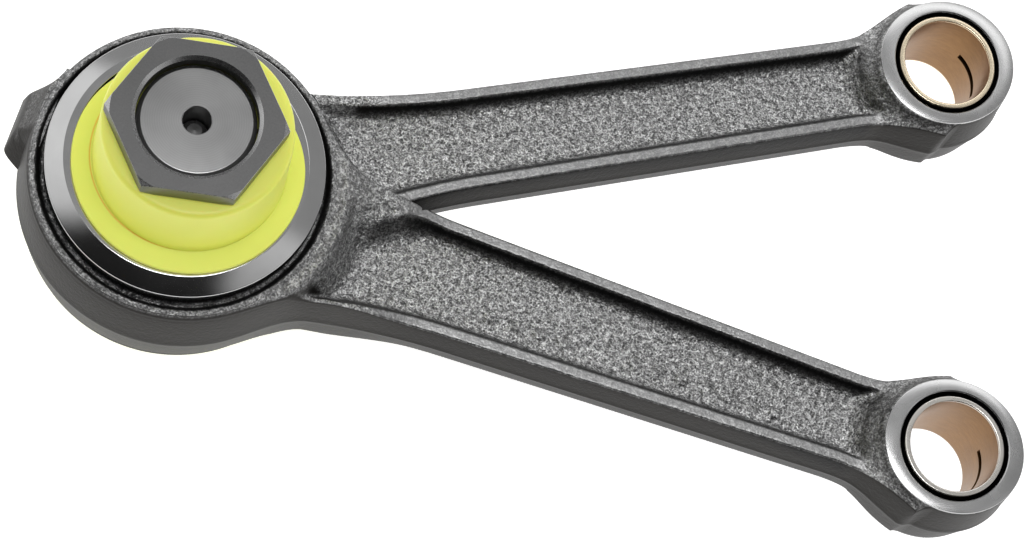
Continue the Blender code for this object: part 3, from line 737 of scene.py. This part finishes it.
def turned_steel(name, tone, rough, pitch=18.0, depth=0.004, axis=(0.0, 0.0), lines=0.5):
    """Ground or turned steel: fine rings about an axis, slight tone bands and cloudy wear."""
    paint = Paint(name, grey(tone), 1.0, rough)
    radius = paint.from_axis(*axis)
    band = paint.noise(900.0, 2.0, 0.5)
    cloud = paint.noise(90.0, 3.0, 0.6)
    rings = (radius * pitch + band * 1.5).wave() * 0.5 + 0.5
    low, high = grey(tone * 0.82), grey(min(1.0, tone * 1.12))
    paint.set("Base Color", paint.mix(rings * lines + cloud * (1.0 - lines), low, high))
    paint.set("Roughness", rough * 0.8 + cloud * rough * 0.45)
    paint.set("Normal", paint.bump(rings, depth, 1.0))
    return paint.material


def dark_nut_steel(name):
    """Phosphated steel with a fine satin grain, brighter where corners and edges are chamfered."""
    paint = Paint(name, grey(0.22), 1.0, 0.36)
    grain = paint.noise(2600.0, 2.0, 0.6)
    cloud = paint.noise(120.0, 3.0, 0.6)
    up = paint.steepness()
    slope = paint.between(up, 0.985, 0.955) * paint.between(up, 0.3, 0.6)
    tone = paint.mix(grain * 0.6 + cloud * 0.4, grey(0.115), grey(0.195))
    paint.set("Base Color", paint.mix(slope, tone, grey(0.5)))
    paint.set("Roughness", 0.30 + grain * 0.16 - slope * 0.1)
    paint.set("Normal", paint.bump(grain, 0.03, 0.6))
    return paint.material


def yellow_plastic(name):
    """Moulded polyethylene: an even lemon-lime, a soft sheen, a thin orange line at the hub's foot, and a
    faint painted glow that lifts its shaded faces.
    """
    # Painted light: a faint yellow emission makes the plastic glow, filling in its shaded faces.
    glow = dict(Emission_Color=(0.80, 0.84, 0.14, 1.0), Emission_Strength=0.13)
    body = dict(IOR=1.5, Subsurface_Weight=0.15, Subsurface_Scale=0.004)
    paint = Paint(name, (0.78, 0.80, 0.13), 0.0, 0.42, **body, **glow)
    cloud = paint.noise(45.0, 2.0, 0.5)
    radius = paint.from_axis()
    level = paint.between((paint.z.size() - 21.25).size(), 0.35, 0.1)
    foot = paint.between((radius - 20.25).size(), 0.28, 0.05) * level
    base = paint.mix(cloud, (0.76, 0.79, 0.11), (0.85, 0.88, 0.16))
    paint.set("Base Color", paint.mix(foot * 0.85, base, (0.80, 0.42, 0.02)))
    paint.set("Roughness", 0.36 + cloud * 0.14)
    paint.set("Normal", paint.bump(paint.noise(700.0, 2.0, 0.5), 0.02, 0.4))
    return paint.material


def bronze(name, axis, rim):
    """Bored bronze: fine rings up the bore, warm streaks, a bright chamfered rim, and the outer chamfer
    painted near black as painted shade in the groove against the rod.
    """
    paint = Paint(name, (0.62, 0.40, 0.19), 1.0, 0.3)
    high = paint.z
    streak = paint.noise(420.0, 3.0, 0.6, (1.0, 1.0, 3.0))
    cloud = paint.noise(110.0, 2.0, 0.5)
    rings = (high * 15.0 + streak * 2.0).wave() * 0.5 + 0.5
    tone = paint.mix(streak * 0.5 + cloud * 0.5, (0.13, 0.060, 0.018), (0.36, 0.195, 0.075))
    top = paint.between(high.size(), 11.25, 11.45)
    # Painted shade: beyond 11.15-11.3 mm from the wrist axis, the outer chamfer sunk in the V-groove against
    # the rod's bore is painted near black.
    groove = paint.between(paint.from_axis(*axis), 11.15, 11.3)
    paint.set("Base Color", paint.mix(groove, paint.mix(top, tone, rim), (0.02, 0.018, 0.015)))
    paint.set("Roughness", 0.26 + cloud * 0.16 - top * 0.08)
    paint.set("Normal", paint.bump(rings * (1.0 - top), 0.012, 1.0))
    return paint.material


def give(piece, material):
    piece.data.materials.clear()
    piece.data.materials.append(material)


# ---------- pieces ----------

WRIST = {"fork": (CENTRES, 0.0), "blade": (CENTRES * math.cos(REST), CENTRES * math.sin(REST))}
FORGED_FORK = forged_steel("forged steel fork", 0.0, False)
FORGED_BLADE = forged_steel("forged steel blade", REST, True)
GROUND = turned_steel("ground steel ring", 0.62, 0.15, 23.0, 0.0002, lines=0.06)
PIN_FACE = turned_steel("turned pin steel", 0.39, 0.30, 13.0, 0.004, lines=0.3)
RACE = turned_steel("hardened race steel", 0.55, 0.2, 9.0, 0.002)
PLUG = turned_steel("dull plug steel", 0.16, 0.55, 6.0, 0.001, lines=0.1)
CAGE = turned_steel("dark cage steel", 0.22, 0.4, 6.0, 0.004)
NUT = dark_nut_steel("phosphated nut steel")
FACE = {end: turned_steel("turned face " + end, 0.56, 0.26, 17.0, 0.0006, WRIST[end], 0.12) for end in WRIST}
YELLOW = yellow_plastic("yellow moulded plastic")
BRONZE = {
    "fork": bronze("bronze fork bush", WRIST["fork"], (0.78, 0.75, 0.70)),
    "blade": bronze("bronze blade bush", WRIST["blade"], (0.86, 0.74, 0.55)),
}


def settle(piece, material, body, slot, *nodes):
    give(piece, material)
    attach(piece, body)
    if nodes:
        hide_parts(*nodes)


fork_skin = cut(
    forging("fork_rod_forging", FORK, True),
    [slot_tool(), straight_tool(EYE_BORE, 24.0), bore_tool(ROD_BORE, BOSS_HALF, 0.2, CENTRES)],
)
settle(shown("fork_rod_forging", fork_skin), FORGED_FORK, "fork", "forged_steel", "fork_rod")

blade_skin = cut(
    forging("blade_rod_forging", BLADE, False),
    [straight_tool(EYE_BORE, 12.0), bore_tool(ROD_BORE, BOSS_HALF, 0.2, CENTRES)],
)
settle(shown("blade_rod_forging", blade_skin, turn=REST), FORGED_BLADE, "blade", "forged_steel", "blade_rod")

settle(shown("fork_balance_pad", balance_pad()), FORGED_FORK, "fork", "forged_steel")

for end, flip in (("upper", 1.0), ("lower", -1.0)):
    settle(shown("fork_thrust_ring_" + end, thrust_ring(flip), 12.0), GROUND, "fork", "ground_steel")

    mesh = crest_ring("crest")
    if flip < 0:
        mesh.transform(Matrix.Rotation(math.pi, 4, "X"))
    settle(shown("fork_crest_ring_" + end, mesh, 40.0), FORGED_FORK, "fork", "forged_steel")

    piece = shown("shipping_cap_shell_" + end, cap_shell(flip))
    settle(piece, YELLOW, "crank_pin", "yellow_plastic", "shipping_cap_" + end)

    mesh = hexagon_nut("nut")
    if flip < 0:
        mesh.transform(Matrix.Rotation(math.pi, 4, "X"))
    piece = shown("crank_pin_nut_hexagon_" + end, mesh, 14.0)
    settle(piece, NUT, "crank_pin", "dark_steel", "crank_pin_nut_" + end)

settle(shown("crank_pin_turned", pin_body(), 25.0), PIN_FACE, "crank_pin", "ground_steel", "crank_pin")

for end in ("fork", "blade"):
    turn = REST if end == "blade" else 0.0
    piece = shown(end + "_wrist_bush_turned", bush_body(), 40.0, turn)
    settle(piece, BRONZE[end], end, "bronze", end + "_wrist_bush")
    steel = FORGED_FORK if end == "fork" else FORGED_BLADE
    settle(shown(end + "_wrist_boss", boss_body("boss"), 30.0, turn), steel, end, "forged_steel")
    for side, flip in (("upper", 1.0), ("lower", -1.0)):
        mesh = boss_face("face")
        if flip < 0:
            mesh.transform(Matrix.Rotation(math.pi, 4, "X"))
        piece = shown(end + "_wrist_face_" + side, mesh, 30.0, turn)
        settle(piece, FACE[end], end, "forged_steel")

for name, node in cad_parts.items():
    if name.startswith("roller_cage"):
        give(node, CAGE)
    elif name.startswith("roller_") or "race" in name:
        give(node, RACE)
    elif name == "oil_plug":
        give(node, PLUG)


# ---------- floor, light and camera ----------

def floor():
    mesh = bpy.data.meshes.new("floor")
    s, z = 6.0, -0.0452
    mesh.from_pydata([(-s, -s, z), (s, -s, z), (s, s, z), (-s, s, z)], [], [(0, 1, 2, 3)])
    made = bpy.data.objects.new("floor", mesh)
    bpy.context.scene.collection.objects.link(made)
    glow = dict(Emission_Color=(1, 1, 1, 1), Emission_Strength=0.85)
    paint = Paint("pale floor", (0.8, 0.8, 0.8), 0.0, 0.9, **glow)
    give(made, paint.material)


def lamp(name, spot, aim, size, power, colour=(1, 1, 1)):
    data = bpy.data.lights.new(name, "AREA")
    data.shape = "RECTANGLE"
    data.size, data.size_y = size
    data.energy = power
    data.color = colour
    made = bpy.data.objects.new(name, data)
    bpy.context.scene.collection.objects.link(made)
    spot, aim = np.array(spot, float), np.array(aim, float)
    back = (spot - aim) / np.linalg.norm(spot - aim)
    side = np.cross([0.0, 1.0, 0.0] if abs(back[2]) > 0.9 else [0.0, 0.0, 1.0], back)
    side /= np.linalg.norm(side)
    up = np.cross(back, side)
    grid = np.eye(4)
    grid[:3, 0], grid[:3, 1], grid[:3, 2], grid[:3, 3] = side, up, back, spot
    made.matrix_world = Matrix(grid.tolist())


def camera():
    data = bpy.data.cameras.new("camera")
    data.lens, data.sensor_width, data.sensor_fit = 98.18, 36.0, "HORIZONTAL"
    data.clip_start, data.clip_end = 0.01, 30.0
    made = bpy.data.objects.new("camera", data)
    bpy.context.scene.collection.objects.link(made)
    right = (0.93923, 0.28302, 0.19431)
    up = (-0.33261, 0.89035, 0.31089)
    back = (-0.08502, -0.35662, 0.93037)
    spot = (0.02172, -0.2089, 0.56764)
    rows = [[right[k], up[k], back[k], spot[k]] for k in range(3)] + [[0, 0, 0, 1]]
    made.matrix_world = Matrix(rows)
    bpy.context.scene.camera = made


def studio():
    """A soft studio sky: grey overhead and behind, dark in front, with a bright box on the left."""
    world = bpy.data.worlds.new("studio")
    world.use_nodes = True
    tree = world.node_tree
    tree.nodes.clear()

    def node(kind, values, **settings):
        made = tree.nodes.new(kind)
        for key, value in settings.items():
            setattr(made, key, value)
        for key, value in values.items():
            if hasattr(value, "is_linked"):
                tree.links.new(value, made.inputs[key])
            else:
                made.inputs[key].default_value = value
        return made

    def eased(value, low, high, least, most):
        values = {0: value, 1: low, 2: high, 3: least, 4: most}
        return node("ShaderNodeMapRange", values, interpolation_type="SMOOTHSTEP").outputs[0]

    def times(a, b, operation="MULTIPLY"):
        return node("ShaderNodeMath", {0: a, 1: b}, operation=operation).outputs[0]

    way = node("ShaderNodeTexCoord", {}).outputs["Generated"]
    part = node("ShaderNodeSeparateXYZ", {0: way}).outputs
    room = eased(part["Y"], -0.45, 0.10, 0.012, 0.33)
    box = times(eased(part["X"], -0.40, -0.66, 0.0, 0.62), eased(part["Y"], -0.45, -0.20, 0.0, 1.0))
    box = times(box, eased(part["Y"], 0.78, 0.64, 0.0, 1.0))
    box = times(box, eased(part["Z"], 0.10, 0.25, 0.0, 1.0))
    strip = times(eased(part["X"], 0.40, 0.62, 0.0, 0.42), eased(part["Y"], -0.62, -0.40, 0.0, 1.0))
    strip = times(strip, eased(part["Y"], 0.20, 0.0, 0.0, 1.0))
    both = times(times(room, box, "ADD"), strip, "ADD")
    sky = node("ShaderNodeBackground", {0: (1.0, 1.0, 1.0, 1.0), 1: both})
    end = tree.nodes.new("ShaderNodeOutputWorld")
    tree.links.new(sky.outputs[0], end.inputs[0])
    bpy.context.scene.world = world


floor()
studio()
lamp("overhead softbox", (0.06, -0.10, 1.1), (0.07, 0.0, 0.0), (0.5, 0.4), 4.5)
lamp("back softbox", (0.15, 0.9, 0.9), (0.07, 0.02, 0.0), (1.2, 0.4), 2.5)
bpy.context.scene.view_settings.view_transform = "Standard"
camera()
